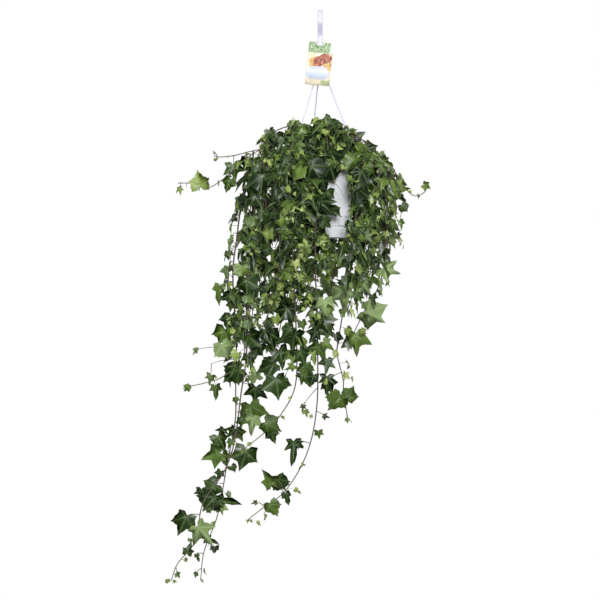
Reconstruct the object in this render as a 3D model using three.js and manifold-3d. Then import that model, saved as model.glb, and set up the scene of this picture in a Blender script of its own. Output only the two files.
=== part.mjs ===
// Hanging potted ivy: a plastic hanging pot with its saucer, hanger and picture label, and the ivy in it.
// Millimetres, +Z up. The origin is the point inside the hook that rests on whatever it hangs from.
import * as THREE from "three";
import { mergeVertices } from "three/addons/utils/BufferGeometryUtils.js";
import Module from "manifold-3d";

const wasm = await Module();
wasm.setup();

// Gap kept between pieces that touch, and under a stem's slanting foot.
const fitGap = 0.3;
const rootGap = 1;

// Hanger: a flat strap bent into a hook, a hub, and three straight strands with bar ends.
const hookInnerRadius = 8;
const strapThickness = 2.4;
const strapWidth = 9;
const hookTipLength = 14;
const hookFrontLength = 18;
const swanNeckDrop = 20;
const strapLength = 87;
const hubRadius = 5;
const hubHeight = 8;
const strandDrop = 171;
const strandRadius = 1.1;
const strandHoleClearance = 1;
const firstStrandAzimuth = -15.4;
const strandCount = 3;
const barEndHeight = 2.4;

// Pot: a tapered wall that steps in to a foot, with a turned-down lip around its rim.
const potRimRadius = 78;
const potLipOverhang = 9;
const potLipDrop = 7;
const potRimThickness = 1.8;
const potWall = 1.5;
const potHeight = 125;
const potShoulderRadius = 53.5;
const potFootRadius = 45.5;
const potFootHeight = 14;
const drainHoleRadius = 3;
const drainHoleCircle = 30;
const drainHoleCount = 6;

// Drip saucer, pushed onto the foot of the pot.
const saucerClearance = 0.6;
const saucerWall = 1.4;
const saucerFloorDrop = 4;
const saucerTaper = 1.5;

// Soil, filled to below the rim.
const soilDepthBelowRim = 10;

// Picture label, threaded on the strap by a slot and leaning on it.
const labelWidth = 43;
const labelHeight = 79;
const labelThickness = 0.5;
const labelHeaderWidth = 38;
const labelHeaderHeight = 20;
const labelSlotWidth = 10.5;
const labelSlotHeight = 14.5;
const labelSlotBelowTop = 12;
const labelTopBelowOrigin = 52.5;
const labelLean = 15;
const labelTilt = 6;

// Ivy: how far the curtain of vines stands out from the rim, and the stems and leaves themselves.
const outerStandoff = 43;
const innerStandoff = 17;
const driftPerDepthSquared = 0.00055;
const taperPerDepthSquared = 0.0000013;
const rootRing = 34;
const rimCrossingGap = 5;
const stemRadius = 1.1;
const runnerRadius = 0.8;
const stemSides = 4;
const stemStep = 30;
const fewestStemSteps = 8;
const leafThickness = 0.9;
const leafStalkWidth = 1.6;

const strapTop = -strapLength;
const hubBottom = strapTop - hubHeight;
const rimTop = hubBottom - strandDrop;
const potBase = rimTop - potHeight;
const shoulder = potBase + potFootHeight;
const potBodyTopRadius = potRimRadius - potLipOverhang;
const soilTop = rimTop - soilDepthBelowRim;
const strandHoleRadius = strandRadius + strandHoleClearance;
const barEndRadius = strandHoleRadius + 0.4;
const strandCircle = (potBodyTopRadius + potRimRadius - potRimThickness) / 2 - barEndHeight * 0.25;

const degrees = Math.PI / 180;
const at = (x, y, z) => new THREE.Vector3(x, y, z);
const around = (radius, azimuth, z) =>
  at(radius * Math.cos(azimuth * degrees), radius * Math.sin(azimuth * degrees), z);
const strandAzimuths = [...Array(strandCount).keys()].map((i) => firstStrandAzimuth + (i * 360) / strandCount);

// A closed geometry as a solid that can be joined and cut.
function solid(geometry) {
  const bare = geometry.clone();
  bare.deleteAttribute("normal");
  bare.deleteAttribute("uv");
  const merged = mergeVertices(bare, 1e-4);
  const mesh = new wasm.Mesh({
    numProp: 3,
    vertProperties: merged.attributes.position.array,
    triVerts: new Uint32Array(merged.index.array),
  });
  return new wasm.Manifold(mesh);
}

// A solid as a geometry again.
function geometryOf(body) {
  const mesh = body.getMesh();
  const geometry = new THREE.BufferGeometry();
  geometry.setAttribute("position", new THREE.BufferAttribute(mesh.vertProperties, 3));
  geometry.setIndex(new THREE.BufferAttribute(mesh.triVerts, 1));
  geometry.computeVertexNormals();
  return geometry;
}

const joined = (bodies) => bodies.reduce((whole, body) => whole.add(body));

const ivy = new THREE.Group();

function place(name, body, colour, roughness) {
  const material = new THREE.MeshStandardMaterial({ color: colour, roughness, metalness: 0, flatShading: true });
  const mesh = new THREE.Mesh(geometryOf(body), material);
  mesh.name = name;
  ivy.add(mesh);
}

// A profile of [radius, height] pairs, from the axis at the bottom round the outside to the axis, turned about Z.
function turned(profile, sides) {
  const points = profile.map(([radius, height]) => new THREE.Vector2(radius, height));
  return solid(new THREE.LatheGeometry(points, sides).rotateX(Math.PI / 2));
}

// A straight round bar between two points.
function bar(start, end, radius, sides) {
  const along = end.clone().sub(start);
  const geometry = new THREE.CylinderGeometry(radius, radius, along.length(), sides);
  const turn = new THREE.Quaternion().setFromUnitVectors(at(0, 1, 0), along.clone().normalize());
  geometry.applyQuaternion(turn);
  const middle = start.clone().add(end).multiplyScalar(0.5);
  geometry.translate(middle.x, middle.y, middle.z);
  return solid(geometry);
}

// The strap's outline, seen from the side: its bend, its free tip behind and its swan neck in front.
function strapOutline() {
  const outer = hookInnerRadius + strapThickness;
  const half = strapThickness / 2;
  const bend = -hookInnerRadius;
  const neckTop = bend - hookFrontLength;
  const neckMiddle = neckTop - swanNeckDrop / 2;
  const neckBottom = neckTop - swanNeckDrop;
  const outline = new THREE.Shape();
  outline.moveTo(outer, bend - hookTipLength);
  outline.lineTo(outer, bend);
  outline.absarc(0, bend, outer, 0, Math.PI, false);
  outline.lineTo(-outer, neckTop);
  outline.bezierCurveTo(-outer, neckMiddle, -half, neckMiddle, -half, neckBottom);
  outline.lineTo(-half, strapTop);
  outline.lineTo(half, strapTop);
  outline.lineTo(half, neckBottom);
  outline.bezierCurveTo(half, neckMiddle, -hookInnerRadius, neckMiddle, -hookInnerRadius, neckTop);
  outline.lineTo(-hookInnerRadius, bend);
  outline.absarc(0, bend, hookInnerRadius, Math.PI, 0, true);
  outline.lineTo(hookInnerRadius, bend - hookTipLength);
  outline.closePath();
  return outline;
}

function hangerSolid() {
  const strap = new THREE.ExtrudeGeometry(strapOutline(), {
    depth: strapWidth,
    bevelEnabled: false,
    curveSegments: 9,
  });
  strap.translate(0, 0, -strapWidth / 2);
  strap.applyMatrix4(new THREE.Matrix4().makeBasis(at(0, 1, 0), at(0, 0, 1), at(1, 0, 0)));
  const hub = turned(
    [[0, hubBottom], [hubRadius * 0.8, hubBottom], [hubRadius, strapTop], [hubRadius * 0.8, strapTop + 2], [0, strapTop + 2]],
    12,
  );
  const parts = [solid(strap), hub];
  for (const azimuth of strandAzimuths) {
    const start = around(hubRadius * 0.4, azimuth, hubBottom + 1);
    const through = around(strandCircle, azimuth, rimTop - potRimThickness / 2);
    const along = through.clone().sub(start).normalize();
    const headTop = rimTop - potRimThickness - fitGap;
    const end = through.clone().addScaledVector(along, (headTop - 1 - through.z) / along.z);
    parts.push(bar(start, end, strandRadius, 8));
    const head = at(end.x, end.y, headTop);
    parts.push(bar(head, head.clone().add(at(0, 0, -barEndHeight)), barEndRadius, 8));
  }
  return joined(parts);
}

function potSolid() {
  const underRim = rimTop - potRimThickness;
  const lip = potRimRadius - potRimThickness;
  const shell = turned(
    [
      [0, potBase],
      [potFootRadius, potBase],
      [potFootRadius, shoulder],
      [potShoulderRadius, shoulder + potWall],
      [potBodyTopRadius, underRim],
      [lip, underRim],
      [lip, rimTop - potLipDrop],
      [potRimRadius, rimTop - potLipDrop],
      [potRimRadius, rimTop],
      [potBodyTopRadius - potWall, rimTop],
      [potShoulderRadius - potWall, shoulder + potWall * 2],
      [potFootRadius - potWall, shoulder + potWall],
      [potFootRadius - potWall, potBase + potWall],
      [0, potBase + potWall],
    ],
    24,
  );
  let pot = shell;
  for (const azimuth of strandAzimuths) {
    const top = around(strandCircle, azimuth, rimTop + 2);
    pot = pot.subtract(bar(top, at(top.x, top.y, underRim - 1), strandHoleRadius, 8));
  }
  for (let i = 0; i < drainHoleCount; i++) {
    const top = around(drainHoleCircle, (i * 360) / drainHoleCount, potBase + potWall + 1);
    pot = pot.subtract(bar(top, at(top.x, top.y, potBase - 1), drainHoleRadius, 8));
  }
  return pot;
}

function saucerSolid() {
  const inner = potFootRadius + saucerClearance;
  const top = shoulder - fitGap;
  const floor = potBase - fitGap - saucerFloorDrop + saucerWall;
  const base = floor - saucerWall;
  return turned(
    [
      [0, base],
      [inner + saucerWall - saucerTaper, base],
      [inner + saucerWall, top],
      [inner, top],
      [inner, potBase - fitGap],
      [inner - saucerTaper * 2, potBase - fitGap],
      [inner - saucerTaper * 2, floor],
      [0, floor],
    ],
    24,
  );
}

function soilSolid() {
  const gap = potWall + fitGap;
  return turned(
    [
      [0, potBase + gap],
      [potFootRadius - gap, potBase + gap],
      [potFootRadius - gap, shoulder + gap],
      [potShoulderRadius - gap, shoulder + potWall * 2 + fitGap],
      [potBodyTopRadius - gap - potLipOverhang * 0.4, soilTop],
      [0, soilTop],
    ],
    24,
  );
}

// The label: a card with a narrower header, a slot for the strap, leaning and tilted about the slot.
function labelSolid() {
  const top = labelSlotBelowTop;
  const bottom = top - labelHeight;
  const half = labelHeaderWidth / 2;
  const card = new THREE.Shape();
  card.moveTo(-half, top);
  card.lineTo(-half, bottom);
  card.lineTo(labelWidth - half, bottom);
  card.lineTo(labelWidth - half, top - labelHeaderHeight);
  card.lineTo(half, top - labelHeaderHeight);
  card.lineTo(half, top);
  card.closePath();
  const slot = new THREE.Path();
  slot.moveTo(-labelSlotWidth / 2, -labelSlotHeight / 2);
  slot.lineTo(-labelSlotWidth / 2, labelSlotHeight / 2);
  slot.lineTo(labelSlotWidth / 2, labelSlotHeight / 2);
  slot.lineTo(labelSlotWidth / 2, -labelSlotHeight / 2);
  slot.closePath();
  card.holes.push(slot);
  const geometry = new THREE.ExtrudeGeometry(card, { depth: labelThickness, bevelEnabled: false });
  geometry.translate(0, 0, -labelThickness / 2);
  geometry.rotateZ(-labelTilt * degrees);
  geometry.rotateX(Math.PI / 2 - labelLean * degrees);
  geometry.translate(0, 0, -labelTopBelowOrigin - labelSlotBelowTop);
  return solid(geometry);
}

// A leaf with its stalk: a flat plate from the stalk's root, along `along`, facing `facing`.
function leafSolid(root, along, facing, length, stalk) {
  const half = leafStalkWidth / 2;
  const outline = new THREE.Shape();
  outline.moveTo(-half, 0);
  outline.lineTo(half, 0);
  outline.lineTo(half, stalk);
  outline.lineTo(length * 0.48, stalk + length * 0.22);
  outline.lineTo(length * 0.2, stalk + length * 0.42);
  outline.lineTo(0, stalk + length);
  outline.lineTo(-length * 0.2, stalk + length * 0.42);
  outline.lineTo(-length * 0.48, stalk + length * 0.22);
  outline.lineTo(-half, stalk);
  outline.closePath();
  const plate = new THREE.ExtrudeGeometry(outline, { depth: leafThickness, bevelEnabled: false });
  plate.translate(0, 0, -leafThickness / 2);
  const up = along.clone().normalize();
  const side = up.clone().cross(facing).normalize();
  const out = side.clone().cross(up).normalize();
  plate.applyMatrix4(new THREE.Matrix4().makeBasis(side, up, out));
  plate.translate(root.x, root.y, root.z);
  return solid(plate);
}

// One shoot: a stem along its route, and leaves at the given shares of its length, to alternate sides.
let shootCount = 0;
function shoot(route, radius, leaves, colour) {
  const path = new THREE.CatmullRomCurve3(route, false, "catmullrom", 0.5);
  const section = new THREE.Shape();
  for (let i = 0; i < stemSides; i++) {
    const angle = (i * 2 * Math.PI) / stemSides;
    const corner = [radius * Math.cos(angle), radius * Math.sin(angle)];
    if (i === 0) section.moveTo(...corner);
    else section.lineTo(...corner);
  }
  section.closePath();
  const steps = Math.max(fewestStemSteps, Math.round(path.getLength() / stemStep));
  const tube = new THREE.ExtrudeGeometry(section, { steps, bevelEnabled: false, extrudePath: path });
  const parts = [solid(tube)];
  leaves.forEach(([share, length], i) => {
    const root = path.getPointAt(Math.round(share * steps) / steps);
    const out = at(root.x, root.y, 0).normalize();
    const sideways = at(-out.y, out.x, 0).multiplyScalar(i % 2 ? 0.55 : -0.55);
    const along = sideways.addScaledVector(out, 0.35).add(at(0, 0, -0.8));
    parts.push(leafSolid(root, along, out.clone().add(at(0, 0, 0.45)), length, length * 0.45));
  });
  shootCount += 1;
  place("ivy_shoot_" + String(shootCount).padStart(2, "0"), joined(parts), colour, 0.55);
}

// The first part of every trailing shoot: up from the soil and out over the rim.
function overRim(azimuth, lift) {
  return [
    around(rootRing, azimuth, soilTop + rootGap),
    around(rootRing + 12, azimuth, rimTop + lift * 0.6),
    around(potRimRadius - 4, azimuth, rimTop + rimCrossingGap + lift),
  ];
}

// A point on the hanging curtain, which leans to one side and draws in as it goes down.
function curtainPoint(azimuth, standoff, depth) {
  const radius = (potRimRadius + standoff) * (1 - taperPerDepthSquared * depth * depth);
  const point = around(radius, azimuth, rimTop - depth);
  point.x -= driftPerDepthSquared * depth * depth;
  return point;
}

// A row of the curtain. Each entry is [azimuth, depth of the tip below the rim, lift over the rim].
function curtain(entries, standoff, colour) {
  for (const [azimuth, tipDepth, lift] of entries) {
    const route = overRim(azimuth, lift);
    const turn = standoff * 0.35;
    route.push(curtainPoint(azimuth, standoff, turn));
    for (const share of [0.35, 0.68, 1]) {
      const depth = turn + (tipDepth - turn) * share;
      const sway = 3 * Math.sin(azimuth + share * 9);
      route.push(curtainPoint(azimuth + sway, standoff, depth));
    }
    shoot(route, stemRadius, [[0.4, 34], [0.62, 32], [0.85, 26]], colour);
  }
}

// A long vine or side runner. Its points are [x, y, z] from the point below the rim on its own azimuth.
function vine(azimuth, lift, steps, leaves, radius, colour) {
  const start = around(potRimRadius, azimuth, rimTop);
  const route = overRim(azimuth, lift);
  for (const [x, y, z] of steps) route.push(at(start.x + x, start.y + y, start.z + z));
  shoot(route, radius, leaves, colour);
}

// A crown shoot: it rises from the middle, leans out and falls over the others.
function crown(azimuth, height, standoff, fall) {
  const reach = potRimRadius + standoff - rootRing;
  const route = [
    around(rootRing * 0.4, azimuth, soilTop + rootGap),
    around(rootRing * 0.5, azimuth, rimTop + height * 0.55),
    around(rootRing * 0.9, azimuth, rimTop + height),
    around(rootRing + reach * 0.6, azimuth, rimTop + height * 0.85),
    around(rootRing + reach, azimuth, rimTop + height * 0.85 - fall),
  ];
  shoot(route, stemRadius, [[0.62, 26], [0.8, 26], [1, 22]], 0x46702f);
}

place("hanger", hangerSolid(), 0xe4e4ee, 0.4);
place("care_label", labelSolid(), 0xe8dcc8, 0.5);
place("pot", potSolid(), 0xdcdff0, 0.4);
place("drip_saucer", saucerSolid(), 0xdcdff0, 0.4);
place("potting_soil", soilSolid(), 0x2c211a, 0.95);

// Outer and inner rows of the curtain, leaving the front right of the pot in view.
curtain(
  [
    [-152, 285, 14],
    [-118, 300, 12],
    [-101, 215, 16],
    [-58, 190, 12],
    [-36, 208, 12],
    [7, 190, 14],
    [30, 235, 10],
    [50, 205, 16],
    [72, 260, 12],
    [94, 280, 14],
    [118, 230, 10],
    [140, 275, 16],
    [161, 240, 12],
  ],
  outerStandoff,
  0x39612b,
);
curtain(
  [
    [-162, 240, 6],
    [-126, 250, 5],
    [-107, 310, 6],
    [-86, 250, 5],
    [-42, 170, 5],
    [-23, 240, 6],
    [11, 260, 5],
    [60, 290, 6],
    [83, 200, 6],
    [128, 300, 5],
    [171, 300, 6],
  ],
  innerStandoff,
  0x2f5426,
);

// Long trailing vines.
vine(
  -172, 12,
  [[-50, -6, -40], [-69, -8, -142], [-74, -12, -203], [-68, -14, -308], [-69, -16, -388],
   [-70, -18, -447], [-84, -22, -523], [-100, -26, -609], [-123, -30, -671], [-129, -32, -721]],
  [[0.3, 30], [0.46, 36], [0.62, 34], [0.77, 38], [0.85, 44]], stemRadius, 0x35602b,
);
vine(
  -142, 10,
  [[-42, -34, -50], [-58, -46, -170], [-64, -52, -328], [-73, -54, -395], [-84, -56, -476],
   [-102, -52, -528], [-138, -48, -583], [-151, -46, -646], [-181, -44, -685], [-192, -42, -714]],
  [[0.42, 40], [0.56, 36], [0.77, 34], [0.85, 44]], stemRadius, 0x3b6a2d,
);
vine(
  -112, 8,
  [[-14, -30, -40], [-18, -36, -150], [-12, -36, -300], [-14, -40, -383],
   [-41, -44, -435], [-67, -48, -462], [-100, -50, -488]],
  [[0.5, 34], [0.68, 44], [0.8, 36], [0.99, 40]], stemRadius, 0x2f5a2a,
);
vine(
  -91, 14,
  [[-2, -34, -36], [-8, -44, -150], [-4, -46, -328], [-6, -46, -422], [-22, -48, -495],
   [-57, -52, -556], [-96, -54, -586], [-120, -54, -605]],
  [[0.55, 30], [0.74, 30], [0.88, 38], [0.96, 26]], stemRadius, 0x3b6a2d,
);
vine(
  -50, 8,
  [[17, -30, -40], [16, -34, -120], [-2, -32, -200], [-19, -30, -300], [-22, -28, -330], [-12, -26, -372],
   [-11, -26, -395], [-4, -26, -440]],
  [[0.55, 36], [0.72, 36], [0.9, 40]], stemRadius, 0x5c7d36,
);
vine(
  -10, 10,
  [[36, -16, -40], [36, -24, -142], [26, -26, -209], [4, -28, -247], [-21, -26, -299]],
  [[0.5, 30], [0.72, 44], [0.98, 44]], stemRadius, 0x7c9a4c,
);

// Thin side runners.
vine(-166, 30, [[-46, -4, 12], [-84, -6, -22], [-119, -8, -44], [-150, -10, -36], [-166, -10, -36]],
  [[0.72, 34], [0.98, 14]], runnerRadius, 0x8aa64a);
vine(-180, 24, [[-40, 0, 22], [-74, 2, 14], [-104, 2, 12], [-106, 2, 20]],
  [[0.5, 28], [0.7, 26]], runnerRadius, 0x35602b);
vine(-3, 22, [[40, -2, 4], [62, -4, -32], [84, -4, -56], [102, -6, -52], [108, -8, -42]],
  [[0.68, 30], [0.97, 14]], runnerRadius, 0x8aa64a);
vine(-133, 4, [[-60, -20, -60], [-72, -30, -180], [-76, -36, -326], [-110, -38, -366], [-145, -38, -379], [-176, -38, -385]],
  [[0.45, 24], [0.88, 18], [0.98, 14]], runnerRadius, 0x6b8f3f);

// Crown shoots over the middle: [azimuth, height over the rim, how far past the rim, fall].
for (const [azimuth, height, standoff, fall] of [
  [-82, 64, 18, 52],
  [-57, 54, 34, 66],
  [-26, 46, 32, 54],
  [17, 46, 46, 44],
  [66, 58, 22, 50],
  [110, 54, 36, 56],
  [149, 52, 36, 54],
  [-164, 64, 34, 46],
  [-123, 56, 26, 56],
])
  crown(azimuth, height, standoff, fall);

export default ivy;
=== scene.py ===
import math
import random

import bmesh
import bpy
from mathutils import Matrix, Vector


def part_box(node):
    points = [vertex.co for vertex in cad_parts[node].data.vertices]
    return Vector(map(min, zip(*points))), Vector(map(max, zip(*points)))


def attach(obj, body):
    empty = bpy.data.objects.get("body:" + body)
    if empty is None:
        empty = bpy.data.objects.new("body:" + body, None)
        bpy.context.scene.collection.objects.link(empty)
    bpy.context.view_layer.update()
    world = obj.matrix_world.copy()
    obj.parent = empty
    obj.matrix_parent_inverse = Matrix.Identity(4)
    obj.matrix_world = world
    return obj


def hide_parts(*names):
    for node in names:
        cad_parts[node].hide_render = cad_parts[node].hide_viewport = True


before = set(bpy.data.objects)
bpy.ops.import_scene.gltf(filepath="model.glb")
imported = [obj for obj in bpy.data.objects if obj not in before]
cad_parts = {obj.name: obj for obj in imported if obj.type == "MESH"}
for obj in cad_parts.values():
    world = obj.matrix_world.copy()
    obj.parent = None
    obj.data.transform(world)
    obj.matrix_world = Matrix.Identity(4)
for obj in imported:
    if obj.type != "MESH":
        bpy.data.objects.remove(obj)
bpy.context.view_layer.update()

# ------------------------------------------------
# Hanger. One moulding of white polypropylene: a flat strap bent into a hook, a small hub, and
# three thin strands. Each strand goes down through a hole in the pot's lip and ends in a bar.

MM = 0.001


def finish_piece(name, mesh_builder, materials, slot, *nodes):
    """Makes a smooth-shaded object of a bmesh, on the object's one body."""
    mesh = bpy.data.meshes.new(name)
    mesh_builder.to_mesh(mesh)
    mesh_builder.free()
    piece = bpy.data.objects.new(name, mesh)
    bpy.context.scene.collection.objects.link(piece)
    for material in materials:
        mesh.materials.append(material)
    mesh.polygons.foreach_set("use_smooth", [True] * len(mesh.polygons))
    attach(piece, "root")
    if nodes:
        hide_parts(*nodes)
    return piece


class Surface:
    """A Principled material while it is put together."""

    def __init__(self, name, colour, roughness):
        self.material = bpy.data.materials.new(name)
        self.material.use_nodes = True
        self.nodes = self.material.node_tree.nodes
        self.links = self.material.node_tree.links
        self.shader = self.nodes["Principled BSDF"].inputs
        self.give("Base Color", colour)
        self.give("Roughness", roughness)

    def put(self, socket, value):
        """Gives a socket a number, a vector or a colour, or links another socket to it."""
        if isinstance(value, bpy.types.NodeSocket):
            self.links.new(value, socket)
        elif socket.type == "RGBA":
            socket.default_value = (*value, 1)
        else:
            socket.default_value = value

    def give(self, name, value):
        """Gives one of the shader's own sockets a value."""
        self.put(self.shader[name], value)

    def node(self, kind, **inputs):
        """Adds a node. In a socket's name, _ stands for a space."""
        node = self.nodes.new("ShaderNode" + kind)
        for name, value in inputs.items():
            self.put(node.inputs[name.replace("_", " ")], value)
        return node

    def place(self):
        """The object's own coordinates."""
        return self.node("TexCoord").outputs["Object"]

    def noise(self, where, scale, detail=3, roughness=0.5):
        """A noise texture read at `where`."""
        texture = self.node("TexNoise", Vector=where, Scale=scale, Detail=detail, Roughness=roughness)
        return texture.outputs["Fac"]

    def ramp(self, value, *stops):
        """A colour ramp of (place, colour) stops."""
        node = self.node("ValToRGB", Fac=value)
        elements = node.color_ramp.elements
        while len(elements) < len(stops):
            elements.new(0.5)
        for element, (place, colour) in zip(elements, stops):
            element.position = place
            element.color = (*colour, 1)
        return node.outputs["Color"]

    def mixed(self, share, first, second):
        """A mix of two colours."""
        node = self.node("Mix")
        node.data_type = "RGBA"
        for number, value in ((0, share), (6, first), (7, second)):
            self.put(node.inputs[number], value)
        return node.outputs[2]

    def maths(self, operation, first, second=0.0):
        """A Math node on two values."""
        node = self.node("Math")
        node.operation = operation
        self.put(node.inputs[0], first)
        self.put(node.inputs[1], second)
        return node.outputs[0]

    def rescaled(self, value, low, high, to_low=0.0, to_high=1.0, smooth=False):
        """A value brought from low..high to to_low..to_high, and held at the ends."""
        node = self.node("MapRange", Value=value, From_Min=low, From_Max=high, To_Min=to_low, To_Max=to_high)
        if smooth:
            node.interpolation_type = "SMOOTHSTEP"
        return node.outputs["Result"]

    def bump(self, height, distance, strength=1.0):
        """Puts a bump on the surface."""
        node = self.node("Bump", Height=height, Distance=distance, Strength=strength)
        self.give("Normal", node.outputs["Normal"])


def moulded_plastic(name, colour, grime, grime_low, grime_high):
    """White plastic: orange-peel skin, faint flow streaks, and soil dust between two heights."""
    surface = Surface(name, colour, 0.36)
    surface.give("Subsurface Weight", 0.18)
    surface.give("Subsurface Radius", (0.004, 0.004, 0.005))
    surface.give("Subsurface Scale", 1.0)
    surface.give("Coat Weight", 0.12)
    where = surface.place()
    streaks = surface.node("Mapping", Vector=where, Scale=(60, 60, 9)).outputs["Vector"]
    shade = tuple(channel * 0.93 for channel in colour)
    base = surface.ramp(surface.noise(streaks, 1.0, 4), (0.3, shade), (0.7, colour))
    height = surface.node("SeparateXYZ", Vector=where).outputs["Z"]
    specks = surface.ramp(surface.noise(where, 170, 5, 0.65), (0.56, (0, 0, 0)), (0.7, (1, 1, 1)))
    dust = surface.maths("MULTIPLY", surface.rescaled(height, grime_low, grime_high), specks)
    dust = surface.maths("MULTIPLY", dust, grime)
    surface.give("Base Color", surface.mixed(dust, base, (0.23, 0.17, 0.12)))
    surface.give("Roughness", surface.rescaled(surface.noise(where, 42), 0, 1, 0.3, 0.46))
    surface.bump(surface.noise(where, 1400, 2), 0.00006)
    return surface.material


def round_section(radius, sides):
    """A round section for grow_tube."""
    turns = [2 * math.pi * i / sides for i in range(sides)]
    return [(radius * math.cos(turn), radius * math.sin(turn)) for turn in turns]


def flat_section(width, thickness, steps=4):
    """A flat section with half-round edges."""
    half = thickness / 2
    reach = width / 2 - half
    corners = []
    for side in (1, -1):
        for i in range(steps + 1):
            turn = math.pi * (i / steps - 0.5)
            corners.append((side * (reach + half * math.cos(turn)), side * half * math.sin(turn)))
    return corners


def grow_tube(bm, points, sections, across):
    """A closed tube: a face at the first point, pulled from point to point."""
    face = None
    for i, point in enumerate(points):
        ahead = (points[min(i + 1, len(points) - 1)] - points[max(i - 1, 0)]).normalized()
        across = (across - ahead * across.dot(ahead)).normalized()
        other = ahead.cross(across)
        corners = [point + across * a + other * b for a, b in sections[i]]
        if face is None:
            root = [bm.verts.new(corner) for corner in corners]
            face = bm.faces.new(root)
            continue
        face = bmesh.ops.extrude_discrete_faces(bm, faces=[face])["faces"][0]
        for vert, corner in zip(face.verts, corners):
            vert.co = corner
    bm.faces.new(list(reversed(root)))


def turn_profile(bm, profile, steps):
    """Spins a profile of (radius, height) pairs, which starts and ends on the axis, into a solid."""
    verts = [bm.verts.new((radius, 0, height)) for radius, height in profile]
    edges = [bm.edges.new(pair) for pair in zip(verts, verts[1:])]
    bmesh.ops.spin(
        bm, geom=verts + edges, cent=(0, 0, 0), axis=(0, 0, 1),
        angle=2 * math.pi, steps=steps, use_merge=True,
    )
    bmesh.ops.remove_doubles(bm, verts=bm.verts[:], dist=1e-6)
    bmesh.ops.recalc_face_normals(bm, faces=bm.faces[:])


def soften(bm, offset, segments=3, least_angle=0.35):
    """Rounds the sharp edges of a bmesh."""
    sharp = [edge for edge in bm.edges if edge.is_manifold and edge.calc_face_angle() > least_angle]
    bmesh.ops.bevel(
        bm, geom=sharp, offset=offset, offset_type="OFFSET", affect="EDGES",
        segments=segments, profile=0.5, material=-1, clamp_overlap=True,
    )


def polar(radius, degrees, height):
    """A point at a radius and an azimuth around the pot's axis."""
    turn = math.radians(degrees)
    return Vector((radius * math.cos(turn), radius * math.sin(turn), height))


pot_low, pot_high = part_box("pot")
rim_top = pot_high.z
rim_radius = pot_high.x
hook_radius = 8 * MM
strap_thickness = 2.4 * MM
strap_width = 9 * MM
strap_at_label = 1 * MM
hook_tip = 14 * MM
hook_front = 10 * MM
neck_drop = 28 * MM
strap_end = -87 * MM
hub_base = strap_end - 8 * MM
hub_radius = 5 * MM
hub_overlap = 2 * MM
hub_facets = 28
rim_thickness = 1.8 * MM
lip_overhang = 9 * MM
strand_radius = 1.1 * MM
strand_circle = rim_radius - (lip_overhang + rim_thickness) / 2 - 0.6 * MM
strand_azimuths = (-15.4, 104.6, 224.6)

hanger_plastic = moulded_plastic("hanger_plastic", (0.52, 0.51, 0.64), 0.25, -0.10, -0.25)

# The strap's middle line: the hook's return, its round, its front, the neck, and down to the hub.
bm = bmesh.new()
bend_steps = 16
neck_steps = 12
middle = hook_radius + strap_thickness / 2
route = [Vector((0, middle, -hook_radius - hook_tip * share)) for share in (1, 0.97, 0.66, 0.33)]
for i in range(bend_steps + 1):
    turn = math.pi * i / bend_steps
    route.append(Vector((0, middle * math.cos(turn), middle * math.sin(turn) - hook_radius)))
route.append(Vector((0, -middle, -hook_radius - hook_front * 0.5)))
for i in range(neck_steps + 1):
    share = i / neck_steps
    ease = share * share * (3 - 2 * share)
    route.append(Vector((0, -middle * (1 - ease), -hook_radius - hook_front - neck_drop * share)))
route += [Vector((0, 0, height * MM)) for height in (-50, -53, -61, -64, -78)]
route.append(Vector((0, 0, strap_end - hub_overlap)))
sections = [flat_section(strap_width, strap_thickness) for _ in route]
# It is thinner where the label hangs, and narrows at the hook's tip and into the hub.
sections[-5] = sections[-4] = flat_section(strap_width, strap_at_label)
sections[0] = flat_section(strap_width * 0.72, strap_thickness * 0.5)
sections[-1] = flat_section(strap_width * 0.8, strap_thickness)
grow_tube(bm, route, sections, Vector((1, 0, 0)))
hub = bmesh.new()
hub_top = strap_end + hub_overlap
turn_profile(hub, [
    (0, hub_base),
    (hub_radius - 1 * MM, hub_base),
    (hub_radius, hub_base + 4 * MM),
    (hub_radius, strap_end),
    (hub_radius - 1 * MM, hub_top),
    (0, hub_top),
], hub_facets)
soften(hub, 0.7 * MM)
hub_mesh = bpy.data.meshes.new("hub")
hub.to_mesh(hub_mesh)
hub.free()
bm.from_mesh(hub_mesh)
bpy.data.meshes.remove(hub_mesh)
strand_steps = 16
past_lip = 1.012
for azimuth in strand_azimuths:
    start = polar(1.5 * MM, azimuth, hub_base + 2 * MM)
    lip_point = polar(strand_circle, azimuth, rim_top - rim_thickness / 2)
    end = start.lerp(lip_point, past_lip)
    route = [start.lerp(end, i / strand_steps) for i in range(strand_steps + 1)]
    sections = [round_section(strand_radius * (1.35 if i == 0 else 1.0), 10) for i in range(len(route))]
    grow_tube(bm, route, sections, Vector((0, 1, 0.1)))
    head = [end + Vector((0, 0, drop * MM)) for drop in (0, -0.4, -2.0, -2.4)]
    grow_tube(bm, head, [round_section(r * MM, 14) for r in (2.0, 2.4, 2.4, 2.0)], Vector((1, 0, 0)))
finish_piece("hanger_moulding", bm, [hanger_plastic], "white_plastic", "hanger")

# ------------------------------------------------
# Picture label. Coated card with a printed front: a narrower leafy header over a wider picture.
# It hangs on the strap by a slot just below its top, so its foot leans forward.

label_width = 43 * MM
label_height = 82 * MM
label_card = 0.5 * MM
header_width = 38 * MM
header_height = 20 * MM
slot_width = 10.5 * MM
slot_height = 5 * MM
slot_below_top = 3.5 * MM
label_top = -54 * MM
label_lean = math.radians(18)
label_tilt = math.radians(6)
edge_curl = 1.2 * MM


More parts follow.
